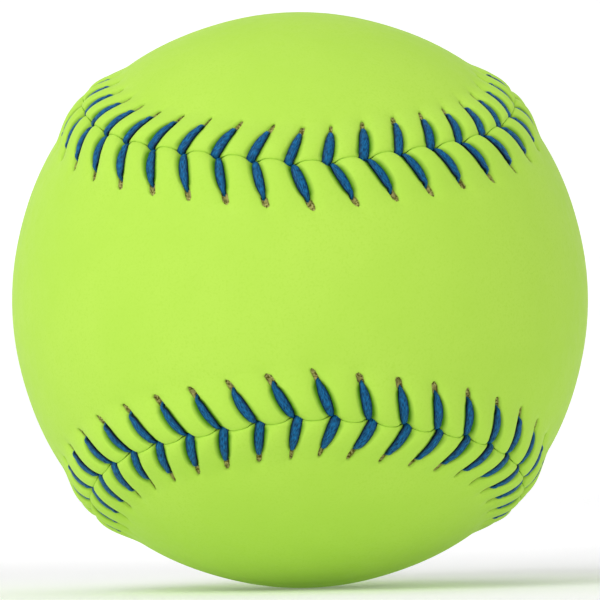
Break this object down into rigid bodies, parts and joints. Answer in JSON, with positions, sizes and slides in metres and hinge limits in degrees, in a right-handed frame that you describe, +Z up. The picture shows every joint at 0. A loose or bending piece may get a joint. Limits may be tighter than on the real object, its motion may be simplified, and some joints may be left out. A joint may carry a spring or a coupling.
{
  "type": "softball",
  "caption": "Round softball with a two-panel sewn cover: raised welts along a winding seam, herringbone stitches, and a foam core inside for hitting, throwing and catching.",
  "frame": {"origin": "centre of the ball", "axes": "+Z up as pictured, -Y towards the viewer through the front panel's narrow waist, +X to the viewer's right"},
  "size_m": [0.097, 0.097, 0.097],
  "materials": {
    "foam": "moulded foam",
    "cover": "fine pebble grain",
    "backing": "felted fleece",
    "cement": "dried film",
    "thread": "waxed twisted thread"
  },
  "bodies": {
    "root": {"core": "foam", "front_skin": "cover", "rear_skin": "cover", "front_backing": "backing", "rear_backing": "backing", "front_cement": "cement", "rear_cement": "cement", "thread_one": "thread", "thread_two": "thread"}
  },
  "joints": []
}
